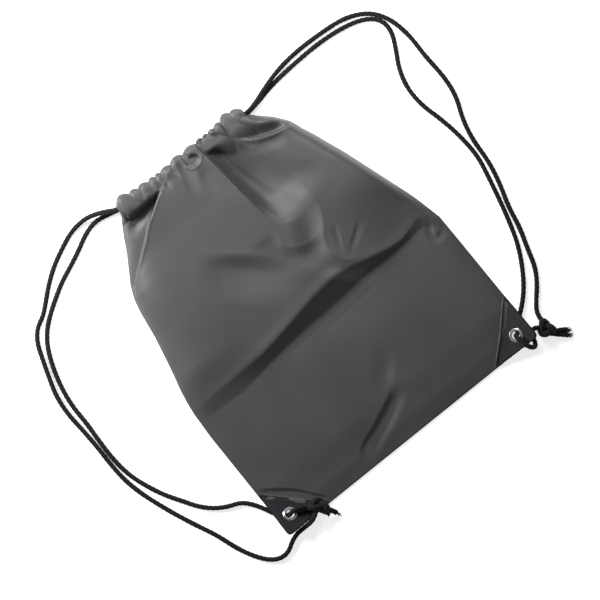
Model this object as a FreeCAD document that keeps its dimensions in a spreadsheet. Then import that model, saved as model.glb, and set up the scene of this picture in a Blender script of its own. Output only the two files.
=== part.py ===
import FreeCAD, Part
import math
import os

import Sketcher

# A drawstring shoe bag lying flat on its back panel.
# +X runs across the bag, +Y from the sewn bottom to the gathered mouth, +Z up.
# The origin is the centre of the bag's footprint, on the surface that it lies on.
# All sizes are millimetres.

doc = FreeCAD.newDocument("shoe_bag")

# --------------------------------------------------------------------------- driving dimensions
# The side stations name the bag's outline from the bottom upwards. Each has its distance along
# the bag, its left and right edge, its crown's left and right end, and the crown's level.
STATIONS = ("bottom", "patch", "hip", "waist", "neck", "mouth")
STATION_CELLS = ("along", "left", "right", "crownleft", "crownright", "crown")
OUTLINE = {
    "bottom": (-195.0, -115.0, 115.0, -109.0, 109.0, 3.4),
    "patch": (-140.0, -170.0, 170.0, -130.0, 130.0, 9.0),
    "hip": (-35.0, -168.0, 168.5, -114.0, 116.0, 20.0),
    "waist": (100.0, -142.5, 127.5, -98.0, 92.0, 26.0),
    "neck": (145.0, -119.0, 110.0, -91.0, 82.0, 26.0),
    "mouth": (178.7, -98.0, 80.0, -86.0, 68.0, 21.0),
}
SIZES = {
    "cloth": (1.0, "thickness of a cloth panel with its turnings"),
    "bottomseam": (1.4, "depth of the sewn bottom seam"),
    "hemdepth": (16.0, "depth of the flattened drawcord channel along Y"),
    "hemthick": (8.0, "thickness of the channel, outside"),
    "channeldepth": (12.6, "clear width inside the channel"),
    "channelthick": (5.6, "clear height inside the channel"),
    "hemfillet": (3.2, "rounding of the channel's long edges"),
    "hemcentre": (187.0, "the channels' middle along Y"),
    "backlevel": (4.0, "middle of the back channel above the surface"),
    "frontlevel": (17.0, "middle of the front channel above the surface"),
    "hemleft": (-86.0, "left end of the channels"),
    "hemsplit": (47.6, "where the fixed channels stop"),
    "endstart": (48.0, "where the sliding channel ends start"),
    "hemright": (68.0, "right end of the channels"),
    "endplay": (0.5, "how much narrower the sliding ends are"),
    "patchhalf": (38.891, "half of a corner patch's long edge"),
    "patchreach": (41.95, "patch from its long edge to its tip, along its slope"),
    "patchsheet": (1.0, "thickness of one patch sheet"),
    "patchcrossleft": (-142.5, "middle of the left patch's long edge along X"),
    "patchcrossright": (142.5, "middle of the right patch's long edge along X"),
    "patchcrossback": (-167.5, "middle of both long edges along Y"),
    "patchtilt": (22.0, "slope of the corners, lifted by the cord below them, in degrees"),
    "patchgap": (0.5, "clearance between a patch and the panels"),
    "tipround": (2.5, "rounding of a patch's tip"),
    "eyeletshift": (1.8, "eyelet off the patch's middle line"),
    "eyeletreach": (17.47, "eyelet from the patch's long edge"),
    "eyeletbore": (4.5, "radius of the eyelet's hole"),
    "barrelradius": (5.1, "outer radius of the eyelet's barrel"),
    "flangeradius": (7.6, "outer radius of the eyelet's flange"),
    "flangethick": (0.8, "thickness of the eyelet's flange"),
    "washerthick": (0.7, "thickness of the washer behind the patch"),
    "lipradius": (5.9, "outer radius of the barrel's rolled end"),
    "lipthick": (0.35, "thickness of the rolled end"),
    "fitgap": (0.05, "clearance round the barrel"),
    "cordradius": (2.5, "radius of a drawcord"),
    "cordspacing": (5.2, "the two drawcords apart inside a channel"),
    "stitchlong": (2.6, "length of one visible stitch"),
    "stitchpitch": (3.8, "one stitch to the next"),
    "stitchwide": (0.6, "width of the sewing thread"),
    "stitchthick": (0.3, "how far a stitch stands proud"),
    "stitchin": (2.8, "stitch line in from a patch's edge"),
    "hemstitchin": (2.0, "stitch line in from a channel's edge"),
}

sheet = doc.addObject("Spreadsheet::Sheet", "Dims")
rows = [(alias, value, meaning) for alias, (value, meaning) in SIZES.items()]
for station in STATIONS:
    for cell_name, value in zip(STATION_CELLS, OUTLINE[station]):
        rows.append((cell_name + station, value, f"{cell_name} at the {station} station"))
for number, (alias, value, meaning) in enumerate(rows, start=1):
    sheet.set(f"A{number}", meaning)
    sheet.set(f"B{number}", repr(value))
    sheet.setAlias(f"B{number}", alias)
doc.recompute()


def size(alias):
    """The number in a sheet cell."""
    return float(sheet.get(alias))


LOOSE = 0.1  # how far off a position an edge may lie and still be the edge looked for

# --------------------------------------------------------------------------- sketch helpers
def plane_of(body, role):
    """One of a body's own origin planes."""
    for feature in body.Origin.OriginFeatures:
        if feature.Role == role:
            return feature
    raise RuntimeError(f"{body.Name} has no {role}")


def new_body(label):
    body = doc.addObject("PartDesign::Body", label)
    body.Label = label
    return body


def new_sketch(body, name, role, along="0"):
    """A sketch on an origin plane, moved along the plane's normal by a sheet formula."""
    sketch = body.newObject("Sketcher::SketchObject", f"{body.Name}_{name}")
    sketch.AttachmentSupport = [(plane_of(body, role), "")]
    sketch.MapMode = "FlatFace"
    sketch.setExpression("AttachmentOffset.Base.z", along)
    return sketch


def closed_polygon(sketch, corners):
    """Straight edges through corners, each (x, y, formula for x, formula for y)."""
    first = sketch.GeometryCount
    count = len(corners)
    for index, (x, y, _, _) in enumerate(corners):
        x_next, y_next = corners[(index + 1) % count][:2]
        start = FreeCAD.Vector(x, y, 0)
        end = FreeCAD.Vector(x_next, y_next, 0)
        sketch.addGeometry(Part.LineSegment(start, end), False)
    for index in range(count):
        here = first + index
        after = first + (index + 1) % count
        sketch.addConstraint(Sketcher.Constraint("Coincident", here, 2, after, 1))
    for index, (x, y, x_formula, y_formula) in enumerate(corners):
        for kind, value, formula in (("DistanceX", x, x_formula), ("DistanceY", y, y_formula)):
            rule = Sketcher.Constraint(kind, -1, 1, first + index, 1, value)
            place = sketch.addConstraint(rule)
            sketch.setExpression(f"Constraints[{place}]", formula)


def pad(body, sketch, formula):
    """Pad a sketch by a sheet formula."""
    feature = body.newObject("PartDesign::Pad", f"{body.Name}_pad")
    feature.Profile = sketch
    feature.Type = "Length"
    feature.Length = 1.0
    feature.setExpression("Length", formula)
    doc.recompute()
    return feature


# --------------------------------------------------------------------------- the two panels
def back_panel():
    """The flat cloth that the bag lies on: the outline between the two patches and the mouth."""
    body = new_body("back_panel")
    sketch = new_sketch(body, "outline", "XY_Plane")
    right = [("right" + station, "along" + station) for station in STATIONS]
    left = [("left" + station, "along" + station) for station in reversed(STATIONS)]
    corners = [(size(x), size(y), f"Dims.{x}", f"Dims.{y}") for x, y in right + left]
    closed_polygon(sketch, corners)
    pad(body, sketch, "Dims.cloth")
    return body


def panel_section(body, station, inner):
    """A four-cornered section of the front panel: flat below, a level crown above."""
    left, right = "left" + station, "right" + station
    crown_left, crown_right, crown = "crownleft" + station, "crownright" + station, "crown" + station
    starts = (
        (size(left), size("cloth")),
        (size(right), size("cloth")),
        (size(crown_right), size(crown)),
        (size(crown_left), size(crown)),
    )
    along = f"-Dims.along{station}"
    if not inner:
        formulas = (
            (f"Dims.{left}", "Dims.cloth"),
            (f"Dims.{right}", "Dims.cloth"),
            (f"Dims.{crown_right}", f"Dims.{crown}"),
            (f"Dims.{crown_left}", f"Dims.{crown}"),
        )
    else:
        if station == "bottom":
            along = f"-Dims.along{station} - Dims.bottomseam"
        slope_left = f"(Dims.{crown_left} - Dims.{left}) / (Dims.{crown} - Dims.cloth)"
        slope_right = f"(Dims.{right} - Dims.{crown_right}) / (Dims.{crown} - Dims.cloth)"
        inner_crown = f"Dims.{crown} - Dims.cloth"
        formulas = (
            (f"Dims.{left} + Dims.cloth * (1 + {slope_left})", "Dims.cloth"),
            (f"Dims.{right} - Dims.cloth * (1 + {slope_right})", "Dims.cloth"),
            (f"Dims.{crown_right} - Dims.cloth", inner_crown),
            (f"Dims.{crown_left} + Dims.cloth", inner_crown),
        )
    sketch = new_sketch(body, ("inner_" if inner else "outer_") + station, "XZ_Plane", along)
    closed_polygon(sketch, [start + formula for start, formula in zip(starts, formulas)])
    return sketch


def front_panel():
    """The puffed front cloth: a hollow shell over the back panel, open at the mouth."""
    body = new_body("front_panel")
    for kind, inner in (("AdditiveLoft", False), ("SubtractiveLoft", True)):
        sections = [panel_section(body, station, inner) for station in STATIONS]
        doc.recompute()
        loft = body.newObject(f"PartDesign::{kind}", f"front_panel_{kind}")
        loft.Profile = sections[0]
        loft.Sections = sections[1:]
        loft.Ruled = True
        doc.recompute()
    return body


# --------------------------------------------------------------------------- the drawcord channels
def channel(label, level, start, length, play):
    """A flattened cloth tube along X that the two drawcords run through."""
    body = new_body(label)
    sketch = new_sketch(body, "section", "YZ_Plane", start)
    middle, rise = size("hemcentre"), size(level)
    depth = f"(Dims.hemdepth - {play}) / 2"
    walls = (
        (size("hemdepth") / 2, size("hemthick") / 2, depth, "Dims.hemthick / 2"),
        (size("channeldepth") / 2, size("channelthick") / 2, "Dims.channeldepth / 2",
         "Dims.channelthick / 2"),
    )
    for half_y, half_z, y_formula, z_formula in walls:
        corners = []
        for side, above in ((-1, -1), (1, -1), (1, 1), (-1, 1)):
            corners.append((
                middle + side * half_y,
                rise + above * half_z,
                f"Dims.hemcentre + ({side}) * {y_formula}",
                f"Dims.{level} + ({above}) * {z_formula}",
            ))
        closed_polygon(sketch, corners)
    tube = pad(body, sketch, length)
    outer_edges = []
    reach = (size("hemdepth") - size("endplay")) / 2 - LOOSE
    for index, edge in enumerate(tube.Shape.Edges, start=1):
        low, high = edge.Vertexes[0].Point, edge.Vertexes[-1].Point
        if abs(high.x - low.x) > LOOSE and abs(low.y - middle) > reach:
            outer_edges.append(f"Edge{index}")
    rounding = body.newObject("PartDesign::Fillet", f"{label}_rounding")
    rounding.Base = (tube, outer_edges)
    rounding.Radius = size("hemfillet")
    rounding.setExpression("Radius", "Dims.hemfillet")
    doc.recompute()
    return body


# --------------------------------------------------------------------------- the corners
def corner_placement(side):
    """The frame of a lifted corner: X along the patch's long edge, Y up its slope to the tip."""
    cross = size("patchcrossright" if side > 0 else "patchcrossleft")
    middle = FreeCAD.Vector(cross, size("patchcrossback"), 0)
    turn = FreeCAD.Rotation(FreeCAD.Vector(0, 0, 1), -135 if side > 0 else 135)
    tilt = FreeCAD.Rotation(FreeCAD.Vector(1, 0, 0), size("patchtilt"))
    return FreeCAD.Placement(middle, turn.multiply(tilt))


def corner_patch(label, side, level):
    """A triangular patch sheet, punched for the eyelet, its tip rounded."""
    body = new_body(label)
    sketch = new_sketch(body, "triangle", "XY_Plane", level)
    half, reach, gap = size("patchhalf"), size("patchreach"), size("patchgap")
    closed_polygon(sketch, [
        (-half + gap, gap, "-Dims.patchhalf + Dims.patchgap", "Dims.patchgap"),
        (half - gap, gap, "Dims.patchhalf - Dims.patchgap", "Dims.patchgap"),
        (0.0, reach, "0", "Dims.patchreach"),
    ])
    shift, height = size("eyeletshift"), size("eyeletreach")
    ring = Part.Circle(FreeCAD.Vector(shift, height, 0), FreeCAD.Vector(0, 0, 1), size("barrelradius"))
    hole = sketch.addGeometry(ring, False)
    for kind, value, formula in (
        ("DistanceX", shift, "Dims.eyeletshift"),
        ("DistanceY", height, "Dims.eyeletreach"),
    ):
        place = sketch.addConstraint(Sketcher.Constraint(kind, -1, 1, hole, 3, value))
        sketch.setExpression(f"Constraints[{place}]", formula)
    place = sketch.addConstraint(Sketcher.Constraint("Radius", hole, size("barrelradius")))
    sketch.setExpression(f"Constraints[{place}]", "Dims.barrelradius + Dims.fitgap")
    sheet_pad = pad(body, sketch, "Dims.patchsheet")
    tip_edges = []
    for index, edge in enumerate(sheet_pad.Shape.Edges, start=1):
        middle = edge.CenterOfMass
        if abs(middle.y - reach) < LOOSE and abs(middle.x) < LOOSE:
            tip_edges.append(f"Edge{index}")
    rounding = body.newObject("PartDesign::Fillet", f"{label}_tip")
    rounding.Base = (sheet_pad, tip_edges)
    rounding.Radius = size("tipround")
    rounding.setExpression("Radius", "Dims.tipround")
    doc.recompute()
    body.Placement = corner_placement(side)
    return body


def eyelet_placement(side):
    """The corner's frame moved to the eyelet's centre."""
    shift = FreeCAD.Vector(size("eyeletshift"), size("eyeletreach"), 0)
    return corner_placement(side).multiply(FreeCAD.Placement(shift, FreeCAD.Rotation()))


def turned_ring(label, side, corners):
    """A ring turned about the eyelet's axis from (radius, level) corners."""
    body = new_body(label)
    sketch = new_sketch(body, "profile", "XZ_Plane")
    closed_polygon(sketch, corners)
    turning = body.newObject("PartDesign::Revolution", f"{label}_turning")
    turning.Profile = sketch
    turning.ReferenceAxis = (sketch, ["V_Axis"])
    turning.Angle = 360.0
    doc.recompute()
    body.Placement = eyelet_placement(side)
    return body


def eyelet(label, side):
    """Flange above the patch, barrel through it, and a rolled lip behind the washer."""
    bore, barrel, flange = size("eyeletbore"), size("barrelradius"), size("flangeradius")
    thick = size("flangethick")
    top = 2 * size("patchsheet")
    low = -size("washerthick")
    lip = size("lipradius")
    edge = "Dims.flangethick / 2"
    return turned_ring(label, side, [
        (bore, low - size("lipthick"), "Dims.eyeletbore", "-Dims.washerthick - Dims.lipthick"),
        (lip, low - size("lipthick"), "Dims.lipradius", "-Dims.washerthick - Dims.lipthick"),
        (lip, low, "Dims.lipradius", "-Dims.washerthick"),
        (barrel, low, "Dims.barrelradius", "-Dims.washerthick"),
        (barrel, top, "Dims.barrelradius", "2 * Dims.patchsheet"),
        (flange, top, "Dims.flangeradius", "2 * Dims.patchsheet"),
        (flange, top + thick / 2, "Dims.flangeradius", f"2 * Dims.patchsheet + {edge}"),
        (flange - thick, top + thick, "Dims.flangeradius - Dims.flangethick",
         "2 * Dims.patchsheet + Dims.flangethick"),
        (barrel, top + thick, "Dims.barrelradius", "2 * Dims.patchsheet + Dims.flangethick"),
        (bore, top + thick / 2, "Dims.eyeletbore", f"2 * Dims.patchsheet + {edge}"),
    ])


def eyelet_washer(label, side):
    """The flat ring that the barrel is rolled over, on the back of the patch."""
    inner = size("barrelradius") + size("fitgap")
    outer = size("flangeradius")
    low = -size("washerthick")
    return turned_ring(label, side, [
        (inner, low, "Dims.barrelradius + Dims.fitgap", "-Dims.washerthick"),
        (outer, low, "Dims.flangeradius", "-Dims.washerthick"),
        (outer, 0.0, "Dims.flangeradius", "0"),
        (inner, 0.0, "Dims.barrelradius + Dims.fitgap", "0"),
    ])


# --------------------------------------------------------------------------- sewing
FIRST_STITCH = 0.2  # where a row's first stitch starts, in stitch pitches


def stitch_row(start, end, level):
    """Separate stitches along a straight line from start to end, resting at a level."""
    run = end.sub(start)
    count = int(run.Length // size("stitchpitch"))
    angle = math.degrees(math.atan2(run.y, run.x))
    turn = FreeCAD.Rotation(FreeCAD.Vector(0, 0, 1), angle)
    stitches = []
    for number in range(count):
        stitch = Part.makeBox(size("stitchlong"), size("stitchwide"), size("stitchthick"))
        place = start.add(FreeCAD.Vector(run).multiply((number + FIRST_STITCH) / count))
        stitch.Placement = FreeCAD.Placement(FreeCAD.Vector(place.x, place.y, level), turn)
        stitches.append(stitch)
    return stitches


def thread_group(label, stitches, placement):
    """A row of stitches as one node of separate solids."""
    feature = doc.addObject("Part::Feature", label)
    feature.Label = label
    feature.Shape = Part.makeCompound(stitches)
    feature.Placement = placement
    return feature


def patch_stitching(label, side):
    """Thread round the front of a patch, and along the long edge behind it."""
    inset = size("stitchin")
    half, reach = size("patchhalf"), size("patchreach")
    slope = math.atan2(reach, half)
    foot = half - inset / math.tan(slope / 2)
    tip = reach - inset / math.cos(slope)
    corners = [
        FreeCAD.Vector(-foot, inset, 0),
        FreeCAD.Vector(foot, inset, 0),
        FreeCAD.Vector(0, tip, 0),
    ]
    top = 2 * size("patchsheet")
    below = -size("stitchthick")
    stitches = []
    for index, corner in enumerate(corners):
        stitches += stitch_row(corner, corners[(index + 1) % 3], top)
    stitches += stitch_row(corners[0], corners[1], below)
    return thread_group(label, stitches, corner_placement(side))


def hem_stitching(label, level):
    """Thread along the lower edge of a channel, on the face that shows."""
    edge = size("hemcentre") - size("hemdepth") / 2 + size("hemfillet") + size("hemstitchin")
    start = FreeCAD.Vector(size("hemleft") + 1, edge, 0)
    end = FreeCAD.Vector(size("hemsplit") - 1, edge, 0)
    return thread_group(label, stitch_row(start, end, level), FreeCAD.Placement())


# --------------------------------------------------------------------------- the drawcords
# Each drawcord is one closed length: from its knot up one strand, through the front channel,
# round inside the gathers at the far end, back through the back channel, down the other strand,
# under its corner, up through the eyelet, and back to the knot.
FLOOR = 2.65
CHANNEL_OVER = 17.0
CHANNEL_UNDER = 4.0

RIGHT_ROUTE = [
    (184.0, -188.0, 5.6), (183.5, -177.5, 3.4), (191.0, -166.5, FLOOR), (204.0, -152.5, FLOOR),
    (214.5, -136.0, FLOOR), (220.5, -115.0, FLOOR), (228.0, -93.0, FLOOR), (232.5, -68.0, FLOOR),
    (240.5, -44.0, FLOOR), (246.5, -17.0, FLOOR), (247.5, 11.0, FLOOR), (253.0, 36.0, FLOOR),
    (263.5, 60.0, FLOOR), (266.0, 86.0, FLOOR), (264.0, 113.0, FLOOR), (265.0, 141.0, FLOOR),
    (260.0, 168.0, FLOOR), (246.0, 188.0, FLOOR), (222.0, 199.5, FLOOR), (192.0, 202.5, FLOOR),
    (160.0, 203.5, FLOOR), (132.0, 200.5, 3.2), (108.0, 193.5, 8.5), (90.0, 186.5, 14.5),
    (76.0, 184.4, CHANNEL_OVER),
    (-90.7, 184.4, CHANNEL_OVER), (-90.7, 184.4, CHANNEL_UNDER),
    (76.0, 184.4, CHANNEL_UNDER),
    (92.0, 186.5, 2.7), (116.0, 192.0, FLOOR), (148.0, 194.5, FLOOR), (182.0, 195.5, FLOOR),
    (214.0, 192.5, FLOOR), (238.0, 185.5, FLOOR), (252.0, 173.0, FLOOR), (253.0, 156.5, FLOOR),
    (244.5, 139.0, FLOOR), (233.5, 120.0, FLOOR), (227.5, 98.0, FLOOR), (228.5, 74.0, FLOOR),
    (235.0, 50.0, FLOOR), (239.5, 24.0, FLOOR), (241.0, -5.0, FLOOR), (235.5, -31.0, FLOOR),
    (230.0, -55.0, FLOOR), (223.5, -80.0, FLOOR), (215.5, -105.0, FLOOR), (204.0, -127.0, FLOOR),
    (191.0, -146.0, FLOOR), (178.0, -159.0, FLOOR), (166.0, -168.0, FLOOR),
    (153.86, -181.4, FLOOR), (151.04, -178.58, 12.29),
    (151.5, -188.0, 17.5), (155.0, -198.0, 17.5), (160.0, -202.5, 11.0), (163.5, -199.5, 5.0),
    (166.0, -191.0, FLOOR), (171.0, -184.5, 3.2), (178.0, -190.0, 5.5),
]

LEFT_ROUTE = [
    (-129.0, -190.5, 10.5), (-136.0, -195.5, 12.0), (-143.0, -197.8, 10.2), (-152.0, -198.2, 6.0),
    (-162.0, -198.4, 2.8), (-171.5, -201.5, FLOOR), (-181.5, -208.0, FLOOR), (-193.0, -208.5, FLOOR),
    (-204.0, -201.5, FLOOR), (-214.5, -187.0, FLOOR), (-223.5, -168.0, FLOOR),
    (-230.5, -146.0, FLOOR), (-241.5, -123.0, FLOOR), (-251.0, -101.0, FLOOR),
    (-259.0, -80.0, FLOOR), (-266.0, -59.0, FLOOR), (-270.5, -38.0, FLOOR), (-271.5, -16.0, FLOOR),
    (-271.0, 8.0, FLOOR), (-272.0, 32.0, FLOOR), (-273.5, 56.0, FLOOR), (-271.0, 78.0, FLOOR),
    (-264.5, 98.0, FLOOR), (-257.5, 118.0, FLOOR), (-251.0, 135.0, FLOOR), (-241.0, 147.0, FLOOR),
    (-228.0, 153.0, FLOOR), (-217.0, 162.5, FLOOR), (-203.0, 175.0, FLOOR), (-186.0, 187.0, FLOOR),
    (-168.0, 196.0, FLOOR), (-148.0, 204.5, 2.8), (-127.0, 206.0, 5.5), (-109.0, 199.0, 11.5),
    (-95.0, 190.5, 16.0), (-84.0, 189.6, CHANNEL_OVER),
    (72.7, 189.6, CHANNEL_OVER), (72.7, 189.6, CHANNEL_UNDER),
    (-90.0, 189.6, CHANNEL_UNDER),
    (-104.0, 193.0, 2.7), (-121.0, 197.0, FLOOR), (-138.5, 192.5, FLOOR), (-155.0, 183.5, FLOOR),
    (-173.0, 175.5, FLOOR), (-190.0, 168.5, FLOOR), (-207.0, 158.5, FLOOR), (-221.5, 149.0, FLOOR),
    (-234.0, 139.0, FLOOR), (-244.0, 126.5, FLOOR), (-251.5, 111.0, FLOOR), (-257.5, 94.0, FLOOR),
    (-262.0, 76.0, FLOOR), (-264.5, 56.0, FLOOR), (-264.0, 34.0, FLOOR), (-265.5, 10.0, FLOOR),
    (-266.0, -14.0, FLOOR), (-263.5, -36.0, FLOOR), (-257.0, -56.0, FLOOR),
    (-247.5, -77.0, FLOOR), (-236.0, -95.0, FLOOR), (-227.0, -109.5, FLOOR),
    (-216.0, -121.0, FLOOR), (-203.0, -129.5, FLOOR), (-188.0, -135.0, FLOOR),
    (-178.0, -147.0, FLOOR), (-171.5, -159.5, FLOOR), (-166.5, -170.0, FLOOR),
    (-156.4, -178.86, FLOOR), (-153.58, -176.04, 12.29),
    (-144.5, -177.5, 12.0), (-137.5, -181.0, 10.0), (-131.0, -185.0, 9.5),
]


ARC_SHARE = 0.45  # how much of the shorter run beside a corner its arc takes up


def drawcord(label, route):
    """A tube along straight runs that are joined by tangent arcs as wide as the runs allow."""
    points = [FreeCAD.Vector(*point) for point in route]
    edges = []
    radii = []
    last = points[0]
    for before, here, after in zip(points, points[1:], points[2:]):
        coming = before.sub(here)
        going = after.sub(here)
        half_turn = (math.pi - coming.getAngle(going)) / 2
        setback = ARC_SHARE * min(coming.Length, going.Length)
        radii.append(setback / math.tan(half_turn))
        arc_start = here.add(coming.normalize().multiply(setback))
        arc_end = here.add(going.normalize().multiply(setback))
        towards = arc_start.add(arc_end).multiply(0.5).sub(here)
        reach = radii[-1] / math.cos(half_turn) - radii[-1]
        arc_middle = here.add(towards.normalize().multiply(reach))
        edges.append(Part.LineSegment(last, arc_start).toShape())
        edges.append(Part.Arc(arc_start, arc_middle, arc_end).toShape())
        last = arc_end
    edges.append(Part.LineSegment(last, points[-1]).toShape())
    path = Part.Wire(edges)
    along = points[1].sub(points[0])
    section = Part.Wire([Part.Circle(points[0], along, size("cordradius")).toShape()])
    feature = doc.addObject("Part::Feature", label)
    feature.Label = label
    feature.Shape = path.makePipeShell([section], True, True)
    feature.Placement = FreeCAD.Placement()
    expected = math.pi * size("cordradius") ** 2 * path.Length
    print(label, "length", round(path.Length, 1), "volume ratio", round(feature.Shape.Volume / expected, 4))
    print(label, "radii", [round(radius, 1) for radius in radii])
    return feature


# --------------------------------------------------------------------------- the knots
# Each knot is a rounded mass with its two free ends, each end a line from the mass outwards.
RIGHT_KNOT = {
    "centre": (182.0, -194.0, 7.2),
    "turned": 100.0,
    "radii": (11.0, 8.0, 7.0),
    "ends": (
        ((184.0, -200.0, 6.0), (201.0, -210.5, 3.0)),
        ((182.5, -202.0, 6.0), (197.5, -217.0, 2.8)),
    ),
}
# The left knot's centre is in its corner's own frame: along the long edge, up the slope, out.
LEFT_KNOT = {
    "centre": (-26.9, 6.9, 7.9),
    "radii": (12.0, 6.3, 5.4),
    "ends": (
        ((-120.5, -196.0, 9.2), (-116.5, -208.0, 5.5)),
        ((-125.5, -195.0, 9.6), (-124.0, -206.0, 6.0)),
    ),
}


def knot_body(name, centre, turn, radii):
    """The rounded mass of an overhand knot."""
    mass = doc.addObject("Part::Ellipsoid", name)
    mass.Radius2, mass.Radius3, mass.Radius1 = radii
    mass.Angle1 = -90
    mass.Angle2 = 90
    mass.Placement = FreeCAD.Placement(FreeCAD.Vector(*centre), turn)
    return mass


def tail(name, start, end):
    """A short free end of the drawcord."""
    start, end = FreeCAD.Vector(*start), FreeCAD.Vector(*end)
    run = end.sub(start)
    rod = doc.addObject("Part::Cylinder", name)
    rod.setExpression("Radius", "Dims.cordradius")
    rod.Height = run.Length
    rod.Placement = FreeCAD.Placement(start, FreeCAD.Rotation(FreeCAD.Vector(0, 0, 1), run))
    return rod


def knot(label, mass, ends):
    """A knot's mass with its two free ends, as one solid."""
    tails = [tail(f"{label}_end_{number}", *end) for number, end in enumerate(ends, start=1)]
    fused = doc.addObject("Part::MultiFuse", label)
    fused.Label = label
    fused.Shapes = [mass] + tails
    fused.Placement = FreeCAD.Placement()
    return fused


def right_knot():
    """Lies on the surface just outside the right corner; both ends point away from the bag."""
    turn = FreeCAD.Rotation(FreeCAD.Vector(0, 0, 1), RIGHT_KNOT["turned"])
    mass = knot_body("right_knot_mass", RIGHT_KNOT["centre"], turn, RIGHT_KNOT["radii"])
    return knot("right_knot", mass, RIGHT_KNOT["ends"])


def left_knot():
    """Lies on the left patch by its lower end; the ends hang over the bottom edge."""
    corner = corner_placement(-1)
    centre = corner.multVec(FreeCAD.Vector(*LEFT_KNOT["centre"]))
    mass = knot_body("left_knot_mass", tuple(centre), corner.Rotation, LEFT_KNOT["radii"])
    return knot("left_knot", mass, LEFT_KNOT["ends"])


# --------------------------------------------------------------------------- build, check, export
parts = [back_panel(), front_panel()]

fixed_length = "Dims.hemsplit - Dims.hemleft"
end_length = "Dims.hemright - Dims.endstart"
parts += [
    channel("back_hem", "backlevel", "Dims.hemleft", fixed_length, "0"),
    channel("front_hem", "frontlevel", "Dims.hemleft", fixed_length, "0"),
    channel("back_hem_end", "backlevel", "Dims.endstart", end_length, "Dims.endplay"),
    channel("front_hem_end", "frontlevel", "Dims.endstart", end_length, "Dims.endplay"),
]

for name, side in (("left", -1), ("right", 1)):
    parts += [
        corner_patch(f"{name}_corner_patch_back", side, "0"),
        corner_patch(f"{name}_corner_patch_front", side, "Dims.patchsheet"),
        eyelet(f"{name}_eyelet", side),
        eyelet_washer(f"{name}_eyelet_washer", side),
        patch_stitching(f"{name}_patch_stitching", side),
    ]

front_face = size("frontlevel") + size("hemthick") / 2
inside_face = size("backlevel") + size("hemthick") / 2
parts += [
    hem_stitching("front_hem_stitching", front_face),
    hem_stitching("back_hem_stitching", inside_face),
    drawcord("right_cord", RIGHT_ROUTE),
    drawcord("left_cord", LEFT_ROUTE),
    right_knot(),
    left_knot(),
]
doc.recompute()

for feature in doc.Objects:
    if "Invalid" in feature.State or "Error" in feature.State:
        raise RuntimeError(f"{feature.Label} failed: {feature.State}")
for part in parts:
    if part.Shape.isNull() or not part.Shape.isValid():
        raise RuntimeError(f"{part.Label} has no valid shape")

os.makedirs("parts", exist_ok=True)
for part in parts:
    part.Shape.exportStep(f"parts/{part.Label}.step")
    box = part.Shape.BoundBox
    print(part.Label, len(part.Shape.Solids), round(part.Shape.Volume, 1),
          [round(value, 1) for value in (box.XMin, box.YMin, box.ZMin, box.XMax, box.YMax, box.ZMax)])
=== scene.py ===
import math

import bpy
import numpy as np
from mathutils import Matrix, Vector


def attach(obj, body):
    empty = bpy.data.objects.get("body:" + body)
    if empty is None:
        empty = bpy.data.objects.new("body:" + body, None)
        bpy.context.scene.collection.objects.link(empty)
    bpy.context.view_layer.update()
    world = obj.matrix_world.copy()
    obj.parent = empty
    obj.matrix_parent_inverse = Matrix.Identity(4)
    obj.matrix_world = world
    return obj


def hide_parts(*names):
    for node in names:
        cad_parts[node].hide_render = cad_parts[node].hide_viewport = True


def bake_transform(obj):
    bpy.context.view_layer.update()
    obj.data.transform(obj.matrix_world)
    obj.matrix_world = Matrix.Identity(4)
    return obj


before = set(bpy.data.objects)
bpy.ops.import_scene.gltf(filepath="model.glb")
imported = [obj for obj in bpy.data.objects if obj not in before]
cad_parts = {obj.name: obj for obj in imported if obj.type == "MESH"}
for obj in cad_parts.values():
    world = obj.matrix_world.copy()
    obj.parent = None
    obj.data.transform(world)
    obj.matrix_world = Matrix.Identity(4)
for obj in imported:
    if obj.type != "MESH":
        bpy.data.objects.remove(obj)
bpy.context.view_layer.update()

MM = 0.001
ROOT = "bag"

# The bag's own frame, in millimetres: x across, y from the sewn bottom to the gathered mouth, z up.
HALF_WIDTH = 170.0
BOTTOM = -195.0
PATCH_LEG = 55.0
TILT = math.radians(22.0)  # slope of the lower corners, which lie on the cords and knots
HEM_FOOT = 180.0           # where the channels are sewn down
HEM_LEFT = -94.0
HEM_RIGHT = 75.0
CHANNEL_OVER = 17.0        # height of the cords' middle in the front channel
CHANNEL_UNDER = 4.0        # and in the back channel
CORD_RADIUS = 2.65
FLOOR = 2.65               # height of a cord's middle where it lies on the floor
CLOTH_THICK = 0.35
CHANNEL_THICK = 0.4

# Outline of the lying bag: (y, left edge, right edge).
OUTLINE = [
    (-195, -170, 170), (-60, -170, 169), (-30, -168.5, 168.5), (-15, -166.5, 165),
    (0, -163.5, 161.5), (15, -159.5, 157), (30, -156, 152), (60, -149.5, 142), (90, -145, 132),
    (105, -141.5, 126), (120, -135, 120.5), (135, -125.5, 114), (150, -116, 108.5),
    (165, -108, 97), (175, -102, 86), (181, -98, 80),
]


# ------------------------ small tools
LINE_STEPS = 48   # points along a fold's line
SOFT_PLACE = 5.0  # how far round the nearest point a place along a line is averaged
LINE_TAIL = 0.06  # share of a line at each end where the place isn't averaged


def smooth(value):
    """0 to 1 with a soft start and end."""
    value = np.clip(value, 0.0, 1.0)
    return value * value * (3.0 - 2.0 * value)


def spread(value, stops, results):
    """Smooth interpolation between stops."""
    value = np.asarray(value, dtype=float)
    stops, results = np.asarray(stops, float), np.asarray(results, float)
    place = np.clip(np.searchsorted(stops, value) - 1, 0, len(stops) - 2)
    part = (value - stops[place]) / (stops[place + 1] - stops[place])
    return results[place] + (results[place + 1] - results[place]) * smooth(part)


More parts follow.
